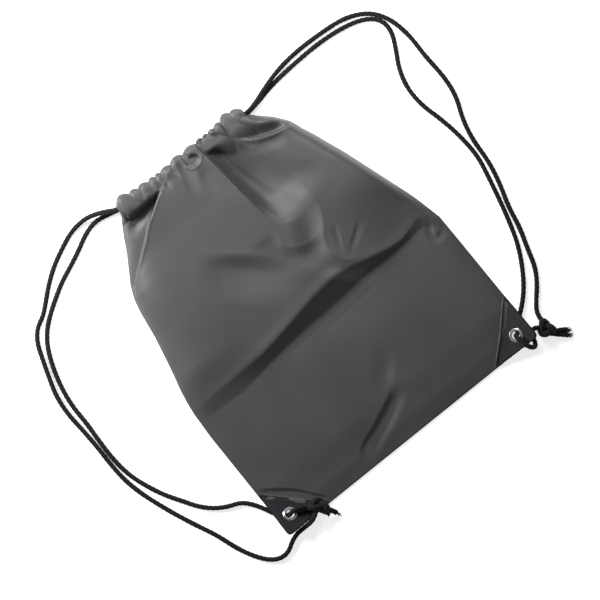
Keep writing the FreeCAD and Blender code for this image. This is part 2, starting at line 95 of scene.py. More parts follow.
def through(points, count):
    """Points along a soft curve through the given ones."""
    points = np.asarray(points, float)
    padded = np.vstack([2 * points[0] - points[1], points, 2 * points[-1] - points[-2]])
    steps = np.linspace(0, len(points) - 1, count)
    result = []
    for step in steps:
        first = min(int(step), len(points) - 2)
        t = step - first
        a, b, c, d = padded[first:first + 4]
        result.append(0.5 * (2 * b + (c - a) * t + (2 * a - 5 * b + 4 * c - d) * t * t
                             + (3 * b - a - 3 * c + d) * t ** 3))
    return np.array(result)


def near_line(x, y, points):
    """Signed distance to a line (left of its direction is positive) and place along it, 0 to 1.

    The place is averaged over the nearby parts of the line, so that it never jumps.
    """
    line = through(points, LINE_STEPS)
    starts, runs = line[:-1], np.diff(line, axis=0)
    flat_x, flat_y = x.ravel()[None, :], y.ravel()[None, :]
    ox, oy = flat_x - starts[:, :1], flat_y - starts[:, 1:]
    dx, dy = runs[:, :1], runs[:, 1:]
    t = np.clip((ox * dx + oy * dy) / (dx * dx + dy * dy), 0, 1)
    ox, oy = ox - t * dx, oy - t * dy
    distance = np.hypot(ox, oy)
    nearest = np.argmin(distance, axis=0)
    columns = np.arange(distance.shape[1])
    least = distance[nearest, columns]
    side = np.where((dx * oy - dy * ox)[nearest, columns] >= 0, 1.0, -1.0)
    weight = np.exp(-(distance ** 2 - least ** 2) / SOFT_PLACE ** 2)
    places = (np.arange(len(runs))[:, None] + t) / len(runs)
    along = (weight * places).sum(axis=0) / weight.sum(axis=0)
    here = places[nearest, columns]
    tail = smooth((LINE_TAIL - np.minimum(here, 1 - here)) / LINE_TAIL)
    along = along * (1 - tail) + here * tail
    return (least * side).reshape(x.shape), along.reshape(x.shape)


def new_mesh(name, points, faces):
    """A mesh object from millimetre points."""
    mesh = bpy.data.meshes.new(name)
    mesh.from_pydata([tuple(c * MM for c in p) for p in points], [], faces)
    mesh.update()
    piece = bpy.data.objects.new(name, mesh)
    bpy.context.scene.collection.objects.link(piece)
    mesh.polygons.foreach_set("use_smooth", [True] * len(mesh.polygons))
    return piece


def grid_faces(rows, columns, around=False):
    """Faces between rows of points; around closes each row into a ring."""
    faces = []
    for row in range(rows - 1):
        for column in range(columns if around else columns - 1):
            a = row * columns + column
            b = row * columns + (column + 1) % columns
            faces.append((a, b, b + columns, a + columns))
    return faces


def flipped(faces):
    return [tuple(reversed(face)) for face in faces]


def unit(vector):
    vector = np.array(vector, float)
    return vector / np.linalg.norm(vector)


def thicken(piece, thickness):
    """Give a sheet its thickness inwards, and keep the result in the mesh."""
    modifier = piece.modifiers.new("thickness", "SOLIDIFY")
    modifier.thickness = thickness * MM
    modifier.offset = -1.0
    apply_modifiers(piece)


def apply_modifiers(piece):
    graph = bpy.context.evaluated_depsgraph_get()
    mesh = bpy.data.meshes.new_from_object(piece.evaluated_get(graph))
    old = piece.data
    piece.modifiers.clear()
    piece.data = mesh
    bpy.data.meshes.remove(old)


# ------------------------ camera
CAMERA_HEIGHT = 2.6
CAMERA_OVER = (-0.0036, -0.0060)
PICTURE_WIDTH = 0.642  # metres of floor that the picture takes in
SENSOR_WIDTH = 36.0
TURN = (0.779, -0.627)  # the picture's right, in the bag's frame


def make_camera():
    """Straight above, turned so that the mouth points to the upper left."""
    data = bpy.data.cameras.new("camera")
    camera = bpy.data.objects.new("camera", data)
    bpy.context.scene.collection.objects.link(camera)
    data.sensor_width = SENSOR_WIDTH
    data.lens = SENSOR_WIDTH * CAMERA_HEIGHT / PICTURE_WIDTH
    data.clip_end = 20.0
    right = Vector((TURN[0], TURN[1], 0)).normalized()
    up = Vector((-TURN[1], TURN[0], 0)).normalized()
    back = right.cross(up)
    place = (*CAMERA_OVER, CAMERA_HEIGHT)
    camera.matrix_world = Matrix(
        [(right[i], up[i], back[i], place[i]) for i in range(3)] + [(0, 0, 0, 1)])
    bpy.context.scene.camera = camera


make_camera()
bpy.context.scene.view_settings.view_transform = "Standard"


# ------------------------ drawcords
RIGHT_ROUTE = [
    (184.0, -188.0, 5.6), (183.5, -177.5, 3.4), (191.0, -166.5, FLOOR), (204.0, -152.5, FLOOR),
    (214.5, -136.0, FLOOR), (220.5, -115.0, FLOOR), (228.0, -93.0, FLOOR), (232.5, -68.0, FLOOR),
    (240.5, -44.0, FLOOR), (246.5, -17.0, FLOOR), (247.5, 11.0, FLOOR), (253.0, 36.0, FLOOR),
    (263.5, 60.0, FLOOR), (266.0, 86.0, FLOOR), (264.0, 113.0, FLOOR), (265.0, 141.0, FLOOR),
    (260.0, 168.0, FLOOR), (246.0, 188.0, FLOOR), (222.0, 199.5, FLOOR), (192.0, 202.5, FLOOR),
    (160.0, 203.5, FLOOR), (132.0, 200.5, 3.2), (108.0, 193.5, 8.5), (90.0, 186.5, 14.5),
    (76.0, 184.4, CHANNEL_OVER), (62.0, 184.4, CHANNEL_OVER), (-77.0, 184.4, CHANNEL_OVER),
    (-90.7, 184.4, CHANNEL_OVER), (-90.7, 184.4, CHANNEL_UNDER),
    (-77.0, 184.4, CHANNEL_UNDER), (62.0, 184.4, CHANNEL_UNDER), (76.0, 184.4, CHANNEL_UNDER),
    (92.0, 186.5, 2.7), (116.0, 192.0, FLOOR), (148.0, 194.5, FLOOR), (182.0, 195.5, FLOOR),
    (214.0, 192.5, FLOOR), (238.0, 185.5, FLOOR), (252.0, 173.0, FLOOR), (253.0, 156.5, FLOOR),
    (244.5, 139.0, FLOOR), (233.5, 120.0, FLOOR), (227.5, 98.0, FLOOR), (228.5, 74.0, FLOOR),
    (235.0, 50.0, FLOOR), (239.5, 24.0, FLOOR), (241.0, -5.0, FLOOR), (235.5, -31.0, FLOOR),
    (230.0, -55.0, FLOOR), (223.5, -80.0, FLOOR), (215.5, -105.0, FLOOR), (204.0, -127.0, FLOOR),
    (191.0, -146.0, FLOOR), (178.0, -159.0, FLOOR), (166.0, -168.0, FLOOR),
    (153.86, -181.4, FLOOR), (151.04, -178.58, 12.29),
    (151.5, -188.0, 17.5), (155.0, -198.0, 17.5), (160.0, -202.5, 11.0), (163.5, -199.5, 5.0),
    (166.0, -191.0, FLOOR), (171.0, -184.5, 3.2), (178.0, -190.0, 5.5),
]

LEFT_ROUTE = [
    (-129.0, -190.5, 10.5), (-136.0, -195.5, 12.0), (-143.0, -197.8, 10.2), (-152.0, -198.2, 6.0),
    (-162.0, -198.4, 2.8), (-171.5, -201.5, FLOOR), (-181.5, -208.0, FLOOR), (-193.0, -208.5, FLOOR),
    (-204.0, -201.5, FLOOR), (-214.5, -187.0, FLOOR), (-223.5, -168.0, FLOOR),
    (-230.5, -146.0, FLOOR), (-241.5, -123.0, FLOOR), (-251.0, -101.0, FLOOR),
    (-259.0, -80.0, FLOOR), (-266.0, -59.0, FLOOR), (-270.5, -38.0, FLOOR), (-271.5, -16.0, FLOOR),
    (-271.0, 8.0, FLOOR), (-272.0, 32.0, FLOOR), (-273.5, 56.0, FLOOR), (-271.0, 78.0, FLOOR),
    (-264.5, 98.0, FLOOR), (-257.5, 118.0, FLOOR), (-251.0, 135.0, FLOOR), (-241.0, 147.0, FLOOR),
    (-228.0, 153.0, FLOOR), (-217.0, 162.5, FLOOR), (-203.0, 175.0, FLOOR), (-186.0, 187.0, FLOOR),
    (-168.0, 196.0, FLOOR), (-148.0, 204.5, 2.8), (-127.0, 206.0, 5.5), (-109.0, 199.0, 11.5),
    (-95.0, 190.5, 16.0), (-84.0, 189.6, CHANNEL_OVER), (-72.0, 189.6, CHANNEL_OVER),
    (59.0, 189.6, CHANNEL_OVER), (72.7, 189.6, CHANNEL_OVER), (72.7, 189.6, CHANNEL_UNDER),
    (59.0, 189.6, CHANNEL_UNDER), (-76.0, 189.6, CHANNEL_UNDER), (-90.0, 189.6, CHANNEL_UNDER),
    (-104.0, 193.0, 2.7), (-121.0, 197.0, FLOOR), (-138.5, 192.5, FLOOR), (-155.0, 183.5, FLOOR),
    (-173.0, 175.5, FLOOR), (-190.0, 168.5, FLOOR), (-207.0, 158.5, FLOOR), (-221.5, 149.0, FLOOR),
    (-234.0, 139.0, FLOOR), (-244.0, 126.5, FLOOR), (-251.5, 111.0, FLOOR), (-257.5, 94.0, FLOOR),
    (-262.0, 76.0, FLOOR), (-264.5, 56.0, FLOOR), (-264.0, 34.0, FLOOR), (-265.5, 10.0, FLOOR),
    (-266.0, -14.0, FLOOR), (-263.5, -36.0, FLOOR), (-257.0, -56.0, FLOOR),
    (-247.5, -77.0, FLOOR), (-236.0, -95.0, FLOOR), (-227.0, -109.5, FLOOR),
    (-216.0, -121.0, FLOOR), (-203.0, -129.5, FLOOR), (-188.0, -135.0, FLOOR),
    (-178.0, -147.0, FLOOR), (-171.5, -159.5, FLOOR), (-166.5, -170.0, FLOOR),
    (-156.4, -178.86, FLOOR), (-153.58, -176.04, 12.29),
    (-144.5, -177.5, 12.0), (-137.5, -181.0, 10.0), (-131.0, -185.0, 9.5),
]


def follow(route, resolution=24):
    """Points along the smooth curve whose control points are the route, in millimetres."""
    curve = bpy.data.curves.new("route", "CURVE")
    curve.dimensions = "3D"
    curve.resolution_u = resolution
    spline = curve.splines.new("NURBS")
    spline.points.add(len(route) - 1)
    for point, place in zip(spline.points, route):
        point.co = (place[0] * MM, place[1] * MM, place[2] * MM, 1.0)
    spline.order_u = 3
    spline.use_endpoint_u = True
    carrier = bpy.data.objects.new("route", curve)
    bpy.context.scene.collection.objects.link(carrier)
    graph = bpy.context.evaluated_depsgraph_get()
    mesh = bpy.data.meshes.new_from_object(carrier.evaluated_get(graph))
    points = np.array([v.co[:] for v in mesh.vertices]) / MM
    bpy.data.objects.remove(carrier)
    bpy.data.curves.remove(curve)
    bpy.data.meshes.remove(mesh)
    return points


def resample(points, count, closed=False):
    """The same line with count points a steady distance apart."""
    if closed:
        points = np.vstack([points, points[:1]])
    steps = np.linalg.norm(np.diff(points, axis=0), axis=1)
    places = np.concatenate([[0], np.cumsum(steps)])
    wanted = np.linspace(0, places[-1], count, endpoint=not closed)
    return np.stack([np.interp(wanted, places, axis) for axis in points.T], axis=1)


def length_of(points):
    return float(np.sum(np.linalg.norm(np.diff(points, axis=0), axis=1)))


def even(points, spacing):
    return resample(points, max(2, int(round(length_of(points) / spacing)) + 1))


def carried_frames(points):
    """Two directions across the line at each point, carried along without twisting."""
    tangents = np.gradient(points, axis=0)
    tangents /= np.linalg.norm(tangents, axis=1)[:, None]
    across = np.cross(tangents[0], (0, 0, 1))
    if np.linalg.norm(across) < 0.1:
        across = np.cross(tangents[0], (0, 1, 0))
    across /= np.linalg.norm(across)
    sides, others = [], []
    for tangent in tangents:
        across = across - tangent * np.dot(across, tangent)
        across /= np.linalg.norm(across)
        sides.append(across)
        others.append(np.cross(tangent, across))
    return np.array(sides), np.array(others)


PLIES = 3
LAY = 15.0                # length of one full turn of the plies
PLY_HOLLOW = 0.84         # the section's radius between two plies, as a share of the cord's
PLY_CROWN = 0.18          # and how much more it is on a ply's crown
UNEVEN = 0.025
UNEVEN_EVERY = 9.0


def twisted_cord(name, points, radius=CORD_RADIUS, spacing=0.85, around=24):
    """A laid cord of three plies: a lobed section that turns as it goes along the line."""
    line = even(points, spacing)
    sides, others = carried_frames(line)
    count = len(line)
    places = np.arange(count) * spacing
    rng = np.random.default_rng(len(name) + count)
    stations = np.arange(0, places[-1] + 40, UNEVEN_EVERY)
    wobble = np.interp(places, stations, rng.normal(0, UNEVEN, len(stations)))
    rings = []
    for number in range(count):
        turn = 2 * math.pi * places[number] / LAY
        for step in range(around):
            angle = 2 * math.pi * step / around
            crown = abs(math.cos(PLIES * (angle - turn) / 2)) ** 0.7
            reach = radius * (1 + wobble[number]) * (PLY_HOLLOW + PLY_CROWN * crown)
            rings.append(line[number] + reach * (math.cos(angle) * sides[number]
                                                 + math.sin(angle) * others[number]))
    faces = grid_faces(count, around, around=True)
    rings += [line[0], line[-1]]
    first, last = len(rings) - 2, len(rings) - 1
    base = (count - 1) * around
    for step in range(around):
        after = (step + 1) % around
        faces.append((first, after, step))
        faces.append((last, base + step, base + after))
    return new_mesh(name, rings, faces)


right_line = follow(RIGHT_ROUTE)
left_line = follow(LEFT_ROUTE)
right_cord = twisted_cord("right_drawcord", right_line)
left_cord = twisted_cord("left_drawcord", left_line)


# ------------------------ the corners
PATCH_HALF = PATCH_LEG / math.sqrt(2)
PATCH_REACH = PATCH_HALF / math.cos(TILT)
BEND_SOFT = 3.0


def corner_rise(x, y):
    """How far the lifted corners stand above the flat, by the distance past the patch's edge."""
    past = (np.abs(x) - y - (HALF_WIDTH - PATCH_LEG - BOTTOM)) / math.sqrt(2.0)
    eased = np.clip(past + BEND_SOFT, 0, None) ** 2 / (4 * BEND_SOFT)
    return math.tan(TILT) * np.where(past > BEND_SOFT, past, eased)


# ------------------------ folds of the front
# Each fold is a crest over the cloth, with the surface falling away on one side of it: the line,
# the side that falls (1 is left of the line's direction), how deep, how wide the fall is at the
# line's start and end, how wide the way back up is, how it eases in and out along the line, and
# how sharp its crest is.
FOLDS = [
    # the strong fold from the middle of the mouth, and a narrow crease inside it
    ([(11, 193), (14, 176), (16, 158), (19, 125), (22, 96), (26, 76), (30, 58)],
     1, 17.0, (5, 33), (16, 70), 0.10, 0.55, 0.9),
    ([(17.5, 168), (19.0, 140), (24, 106), (36, 66)], 1, 4.5, (4, 9), (9, 22), 0.3, 0.3, 0.8),
    # the long ridge right of it, that ends as the lower edge of the raised cloth
    ([(48, 196), (46, 180), (50, 166), (57, 149)], 1, 4.6, (4, 9), (12, 24), 0.0, 0.35, 1.0),
    ([(52, 170), (60, 149), (66, 130), (72, 112), (75, 96), (75, 78), (75, 60), (68, 44),
      (58, 30), (54, 16), (57, 3), (66, -7), (80, -14)],
     -1, 3.4, (22, 9), (40, 12), 0.45, 0.12, 0.7),
    # the end of the strong fold, and the soft hollow below it
    ([(21, 78), (22, 64), (19, 51), (26, 42), (36, 37), (50, 36), (63, 42)],
     -1, 2.2, (12, 9), (26, 18), 0.4, 0.4, 0.7),
    ([(-62, 101), (-40, 86), (-14, 65), (8, 40), (26, 18)],
     -1, 6.5, (14, 20), (40, 40), 0.5, 0.5, 0.2),
    ([(79, 36), (73, 20), (66, 3)], -1, 0.9, (3, 3), (9, 7), 0.4, 0.4, 0.7),
    ([(100, 26), (83, 13), (67, 2)], 1, 0.9, (3, 3), (9, 7), 0.4, 0.4, 0.7),
    # ripples below the hook in the mouth
    ([(-15, 193), (-19, 178), (-24, 160), (-27, 142)], 1, 2.6, (5, 9), (10, 18), 0.0, 0.7, 0.6),
    ([(-3, 174), (-9, 154), (-13, 134)], 1, 1.6, (7, 10), (12, 20), 0.3, 0.7, 0.3),
    # the rolled ear at the right end of the mouth
    ([(50, 172), (57, 165), (68, 157), (82, 150.5), (96, 146.5), (108, 144)],
     1, 10.5, (3.5, 3), (15, 11), 0.05, 0.3, 1.0),
    ([(52, 167), (66, 155), (82, 148.5), (98, 145)], -1, 1.7, (4, 4), (14, 12), 0.2, 0.3, 1.0),
    # creases over the left corner, at the right edge, and across the lower part
    ([(-170, -133), (-154, -143), (-137, -157), (-127, -168), (-118, -180), (-110, -190)],
     -1, 2.6, (5, 5), (10, 10), 0.05, 0.15, 0.8),
    ([(160, -27), (154, -42), (166, -36)], -1, 1.4, (4, 4), (8, 8), 0.3, 0.3, 1.0),
    ([(128, -34), (62, -39), (-18, -45), (-76, -51)], -1, 0.16, (2, 2), (8, 8), 0.3, 0.4, 0.6),
    ([(112, -43), (40, -49), (-36, -55)], -1, 0.12, (2, 2), (9, 9), 0.4, 0.4, 0.6),
    ([(50, -106), (28, -130), (10, -149)], -1, 1.5, (12, 10), (18, 18), 0.5, 0.5, 0.3),
    ([(16, -136), (4, -145), (-25, -158), (-52, -169), (-62, -186)],
     1, 2.8, (8, 10), (14, 14), 0.3, 0.3, 0.7),
]
# The long drop across the bag, where the raised upper part ends: place across, the line along
# which it starts, the line along which it ends, and how deep it is.
DROP = [
    (-175, -26, -42, 1.4), (-159, -27.5, -42, 3.0), (-135, -27, -43, 4.2), (-110, -26.5, -43.8, 5.4),
    (-90, -25.5, -41.5, 6.2), (-72, -25.5, -39, 7.0), (-50, -22.5, -36.5, 8.8),
    (-28, -18.7, -34.5, 10.6), (10, -12, -33.3, 13.6), (35, -9.4, -31.7, 14.4),
    (50, -10.3, -30.7, 13.6), (64, -12.6, -30, 12.2),
    (85, -18, -29.8, 8.8), (105, -22.5, -29.7, 5.8), (122, -23.5, -29.2, 4.4), (136, -20, -28, 3.8),
    (148, -17, -27, 4.0), (158, -22, -34, 3.6), (170, -34, -44, 2.4),
]
# Farther up, the raised part has this even fullness instead: places across, and heights there.
FULLNESS = ([-175, -90, 20, 70, 130, 170], [3.0, 9.0, 13.5, 11.0, 18.0, 17.0])
# The flap on the left: the front layer ends along this line and the layer behind shows.
FLAP = [(-19, 196), (-24, 190), (-37, 182), (-51, 175), (-64, 167), (-78, 158), (-90, 148),
        (-110, 133), (-128, 119), (-143, 103)]
FLAP_HOLLOW = [(-30, 188), (-44, 184), (-56, 181), (-70, 178), (-80, 174), (-92, 167), (-103, 158)]
SHELF = ([0.0, 0.3, 0.6, 1.0], [11.0, 9.5, 7.0, 4.5])  # the layer behind: places along, and heights
SHELF_AT_MOUTH = 23.4
HOLLOW_DEEP = 7.5
FLAP_ROLL = 0.7

# The hook-shaped pit in the mouth is two ovals: (x, y, half width, half length).
HOOK = [(0.5, 180.5, 7.5, 5.5), (-4.0, 188.0, 3.4, 7.0)]
HOOK_DEEP = 7.0
HOOK_LIP = 0.9

# Height of the low lying cloth, and how it rises again to the mouth: places along, and heights.
LOW = ([-195, -172, -140, -60, 20, 110, 180], [2.2, 3.6, 5.0, 6.0, 7.0, 7.6, 7.6])
RISE = ([-60, 0, 70, 130, 180], [0.0, 0.0, 0.6, 0.8, 3.6])
LEFT_PUFF = 6.0
DROP_LIP = 0.8
DROP_SOFT = 0.10

# How softly the cloth rounds down to its side seams: places along, and widths of the rounding.
SEAM_LEVEL = 1.5
LEFT_ROUND = ([-195, -40, 0, 110, 150], [10.0, 12.0, 15.0, 12.0, 8.0])
RIGHT_ROUND = ([-195, -40, 0, 35, 150], [10.0, 12.0, 7.0, 4.0, 5.0])
BOTTOM_ROUND = 6.0

# The gathers at the mouth. Between two notches the cloth swells into one lobe: place across,
# how far the mouth reaches there, the swell up to the next notch, and the crease that runs from
# the notch into the cloth: its depth, length and lean.
GATHERS = [
    (-94.0, 195.0, 5.6, 0.6, 16, 0.00), (-74.5, 195.6, 2.6, 1.6, 20, 0.15),
    (-64.0, 194.0, 3.0, 1.2, 16, -0.20), (-50.8, 192.4, 2.6, 2.0, 14, 0.10),
    (-42.0, 192.4, 2.0, 1.2, 12, 0.00), (-35.0, 192.4, 2.4, 2.0, 16, -0.10),
    (-21.4, 192.5, 4.0, 1.6, 14, 0.15), (-4.0, 192.4, 3.6, 2.2, 12, 0.10),
    (14.2, 192.4, 3.0, 2.4, 18, 0.15), (23.0, 192.8, 2.2, 1.0, 14, 0.25),
    (30.6, 192.8, 2.2, 2.0, 26, 0.25), (39.0, 193.4, 2.6, 1.6, 20, 0.20),
    (48.3, 194.4, 4.4, 2.0, 24, 0.05), (62.0, 195.6, 2.4, 1.0, 14, 0.00),
    (75.0, 192.6, 1.0, 0.4, 10, 0.00),
]
LOBE_HIGH = 0.6
PLEAT_HIGH = 0.5
CREASE_FROM = 188.0   # the creases widen and lean from here into the cloth
CREASE_FULL = 184.0   # and are full depth beyond here
MOUTH_ROLL = 7.0      # length over which the cloth turns down at the mouth edge
# The cloth covers the cords in the channel, and rises to it from these places: across, and along.
COVER = CHANNEL_OVER + CORD_RADIUS + 1.0
COVER_FULL = 179.0
COVER_FROM = ([-30, -6, 8, 17, 24, 44], [171.0, 146.0, 146.0, 170.0, 168.0, 140.0])


def mouth_reach(x):
    """How far the mouth edge reaches along the bag, and each lobe's swell from 0 to 1."""
    stops, reach, swell = np.array(GATHERS).T[:3]
    place = np.clip(np.searchsorted(stops, x) - 1, 0, len(stops) - 2)
    t = np.clip((x - stops[place]) / (stops[place + 1] - stops[place]), 0, 1)
    lobe = np.sin(math.pi * t) ** 0.8
    return reach[place] * (1 - t) + reach[place + 1] * t + swell[place] * lobe, lobe


def crease(x, y):
    """How deep the gathers' creases lie, at the mouth and fading into the cloth."""
    deep = np.zeros(np.shape(x))
    for place, _, _, depth, reach, lean in GATHERS:
        off = np.abs(x - place - lean * (CREASE_FROM - y))
        fade = smooth((y - (CREASE_FULL - reach)) / reach)
        deep = deep + depth * np.exp(-off / (1.6 + 0.07 * np.maximum(CREASE_FROM - y, 0))) * fade
    return deep


def fold(x, y, row):
    """How far one fold lowers the cloth; its crest stands up a little."""
    line, side, deep, over, back, ease_in, ease_out, sharp = row
    signed, along = near_line(x, y, line)
    away = signed * side
    width = over[0] + (over[1] - over[0]) * along
    home = back[0] + (back[1] - back[0]) * along
    strength = smooth((1 - along) / ease_out)
    if ease_in > 0:
        strength = strength * smooth(along / ease_in)
    t = np.clip(away / width, 0, 1)
    down = sharp * t * (1.7 - 0.7 * t) + (1 - sharp) * smooth(t)
    shape = down * (1 - smooth((away - width) / home))
    crest = 0.10 * sharp * np.exp(-np.abs(away) / 2.6)
    return deep * strength * (shape - crest)


def lying_height(x, y):
    """The cloth before its folds: low and flat below the drop, raised and full above it."""
    stops, starts, ends, depths = np.array(DROP).T
    start, stop, deep = (np.interp(x, stops, row) for row in (starts, ends, depths))
    deep = deep + (spread(x, *FULLNESS) - deep) * smooth((y + 25.0) / 85.0)
    t = np.clip((y - stop) / (start - stop), -0.6, 1.6)
    foot = np.clip(t + DROP_SOFT, 0, None) ** 2 / (4 * DROP_SOFT)
    brow = 1 - np.clip(1 + DROP_SOFT - t, 0, None) ** 2 / (4 * DROP_SOFT)
    ramp = np.where(t > 1 - DROP_SOFT, brow, np.where(t < DROP_SOFT, foot, t))
    lip = DROP_LIP * np.exp(-((y - start - 2) / 7.0) ** 2) * smooth(deep / 8.0)
    puff = smooth((y + 30) / 40.0) * smooth((-60 - x) / 90.0) * smooth((165 - y) / 60.0)
    return spread(y, *LOW) + deep * ramp + lip + spread(y, *RISE) + LEFT_PUFF * puff


def with_flap(x, y, z):
    """Past the flap's line the layer behind shows, lower and hollowed; the flap's edge rolls up."""
    signed, along = near_line(x, y, FLAP)
    behind = smooth((-signed + 0.6) / 1.8) * smooth((1 - along) / 0.10) * smooth(along / 0.05)
    off, place = near_line(x, y, FLAP_HOLLOW)
    hollow = np.exp(-(off / 6.5) ** 2) * smooth((1 - place) / 0.35) * smooth(place / 0.1)
    shelf = spread(along, *SHELF) - HOLLOW_DEEP * hollow
    shelf = shelf + (SHELF_AT_MOUTH - shelf) * smooth((y - 174.0) / 9.0)
    z = z * (1 - behind) + np.minimum(z, shelf) * behind
    roll = np.exp(-(np.clip(signed, 0, None) / 2.5) ** 2) * (signed > -0.5)
    return z + FLAP_ROLL * roll * smooth((1 - along) / 0.2)


def hook_pit(x, y):
    """How deep the hook-shaped pit is; its rim stands up a little."""
    ovals = [np.hypot((x - mid_x) / half_x, (y - mid_y) / half_y)
             for mid_x, mid_y, half_x, half_y in HOOK]
    reach = np.minimum(*ovals)
    lip = HOOK_LIP * np.exp(-((reach - 1.35) / 0.22) ** 2) * smooth((CREASE_FULL - y) / 6.0)
    return HOOK_DEEP * smooth((1.2 - reach) / 0.55) - lip


def gathered(x, y):
    """The lobes, creases and small pleats that the gathered mouth adds to the cloth."""
    lobes = LOBE_HIGH * mouth_reach(x)[1] * smooth((y - 176.0) / 12.0)
    pleat = np.sin(x / 2.3 + 1.4 * np.sin(x / 7.1) + (y - 185.0) * (0.16 + 0.10 * np.sin(x / 11.0)))
    pleat = pleat * np.abs(pleat) * smooth((y - 175.0) / 9.0) * smooth((x - HEM_LEFT) / 8.0)
    return lobes + PLEAT_HIGH * pleat - crease(x, y)


def front_height(x, y, edge_left, edge_right):
    """Height of the front cloth over the surface the bag lies on."""
    z = lying_height(x, y)
    for row in FOLDS:
        z = z - fold(x, y, row)
    z = with_flap(x, y, z) - hook_pit(x, y) + gathered(x, y)
    z = z + 0.6 * np.sin(x / 19.0 + y / 37.0 + 1.0) * np.sin(y / 27.0 - x / 43.0)
    ramp_from = spread(x, *COVER_FROM)
    covered = smooth((y - ramp_from) / (COVER_FULL - ramp_from))
    covered = covered * smooth((x - HEM_LEFT) / 4.0) * smooth((HEM_RIGHT - x) / 4.0)
    z = np.maximum(z, COVER * covered)
    turned = np.clip(y - (mouth_reach(x)[0] - MOUTH_ROLL), 0, None) / MOUTH_ROLL
    z = z - 2.4 * turned ** 2
    hold = 1 - np.exp(-edge_left / spread(y, *LEFT_ROUND))
    hold = hold * (1 - np.exp(-edge_right / spread(y, *RIGHT_ROUND)))
    hold = hold * (1 - np.exp(-np.clip(y - BOTTOM, 0, None) / BOTTOM_ROUND))
    return SEAM_LEVEL + np.maximum(z - SEAM_LEVEL, 0.5) * hold


def outline_at(y):
    stops = [row[0] for row in OUTLINE]
    left = np.interp(y, stops, [row[1] for row in OUTLINE])
    right = np.interp(y, stops, [row[2] for row in OUTLINE])
    return left, right


TUCKED_IN = 8.5         # how far the cloth runs on under a patch, along x
BUNCHED = 0.38          # share of the spacing that is closer together near the sides
STRETCH_FROM = 160.0    # from here on the rows stretch to the lobes of the mouth


def patch_side(y):
    """How far across the cloth reaches beside a patch, which hides its slanted end."""
    return HALF_WIDTH - PATCH_LEG + (y - BOTTOM) + TUCKED_IN


def grid_places(rows, columns, over_hem):
    """Places over the lying bag, row by row, closer together near its sides."""
    xs, ys, lefts, rights = [], [], [], []
    top = HEM_FOOT + 1.0
    _, mouth_left, mouth_right = OUTLINE[-1]
    even_part = np.linspace(0, 1, columns)
    bunched = 0.5 - 0.5 * np.cos(math.pi * even_part)
    share = (1 - BUNCHED) * even_part + BUNCHED * bunched
    for y in np.linspace(BOTTOM, top, rows):
        left, right = outline_at(y)
        left, right = max(left, -patch_side(y)), min(right, patch_side(y))
        x = left + (right - left) * share
        run = smooth((x - mouth_left) / 6.0) * smooth((mouth_right - x) / 6.0) * over_hem
        stretch = max(y - STRETCH_FROM, 0.0) / (top - STRETCH_FROM)
        xs.append(x)
        ys.append(y + (mouth_reach(x)[0] - 3.2 - top) * run * stretch)
        lefts.append(x - left)
        rights.append(right - x)
    return np.array(xs), np.array(ys), np.array(lefts), np.array(rights)


def cloth_sheet(name, rows, columns, height, faces_up):
    """One layer of the bag. The front layer runs on over its channel; the back one stops at it."""
    x, y, left, right = grid_places(rows, columns, 1.0 if faces_up else 0.0)
    z = height(x, y, left, right) + corner_rise(x, y)
    points = np.stack([x.ravel(), y.ravel(), z.ravel()], axis=1)
    faces = grid_faces(rows, columns)
    piece = new_mesh(name, points, faces if faces_up else flipped(faces))
    thicken(piece, CLOTH_THICK)
    return piece


def back_height(x, y, edge_left, edge_right):
    """The back cloth: flat where it lies, its edge curling up to the side seam."""
    edge = np.minimum(np.minimum(edge_left, edge_right), y - BOTTOM)
    curl = 1.05 * np.exp(-edge / 5.0)
    ripple = 0.35 * np.abs(np.sin(x / 13.0 + np.sin(y / 37.0))) * smooth(edge / 14.0)
    near_mouth = (5.2 + 1.2 * np.sin(x / 4.1)) * smooth((y - 150.0) / 30.0)
    return 0.42 + curl + ripple + near_mouth * smooth(edge / 10.0) * 0.8


front = cloth_sheet("front_cloth", 310, 280, front_height, True)
back = cloth_sheet("back_cloth", 150, 140, back_height, False)


# ------------------------ the hem channels
def hem_tube(name, level, tops, shrink):
    """A channel gathered along the cords: its upper face carries on the cloth's own folds."""
    around, count = 44, 420
    x = np.linspace(HEM_LEFT, HEM_RIGHT, count)[:, None]
    end = np.minimum(x - HEM_LEFT, HEM_RIGHT - x)
    close = 1 - smooth(end / 9.0)
    reach = mouth_reach(x)[0] - shrink - close * 2.0
    foot = HEM_FOOT - 2.0 + close * 4.0
    angle = np.linspace(0, 2 * math.pi, around, endpoint=False)[None, :]
    across, rise = np.cos(angle), np.sin(angle)
    y = (reach + foot) / 2 + (reach - foot) / 2 * np.sign(across) * np.abs(across) ** 0.8
    full = np.sign(rise) * np.abs(rise) ** 0.55
    x = np.broadcast_to(x, y.shape)
    top = tops(x, y) - 1.2 * close
    z = np.where(rise >= 0, level + (top - level) * full, level + 3.3 * full)
    points = np.stack([x.ravel(), y.ravel(), z.ravel()], axis=1)
    piece = new_mesh(name, points, flipped(grid_faces(count, around, around=True)))
    thicken(piece, CHANNEL_THICK)
    return piece


def front_top(x, y):
    """The front channel's upper face, just under the cloth that is folded over it."""
    inside = np.full(x.shape, 60.0)
    return np.maximum(front_height(x, y, inside, inside) - 0.6, COVER - 0.6)


def back_top(x, y):
    """The back channel's upper face, inside the mouth."""
    return CHANNEL_UNDER + 3.6 - 0.4 * np.minimum(crease(x, y), 1.5)


front_hem = hem_tube("front_hem_channel", CHANNEL_OVER, front_top, 0.0)
back_hem = hem_tube("back_hem_channel", CHANNEL_UNDER, back_top, 2.0)


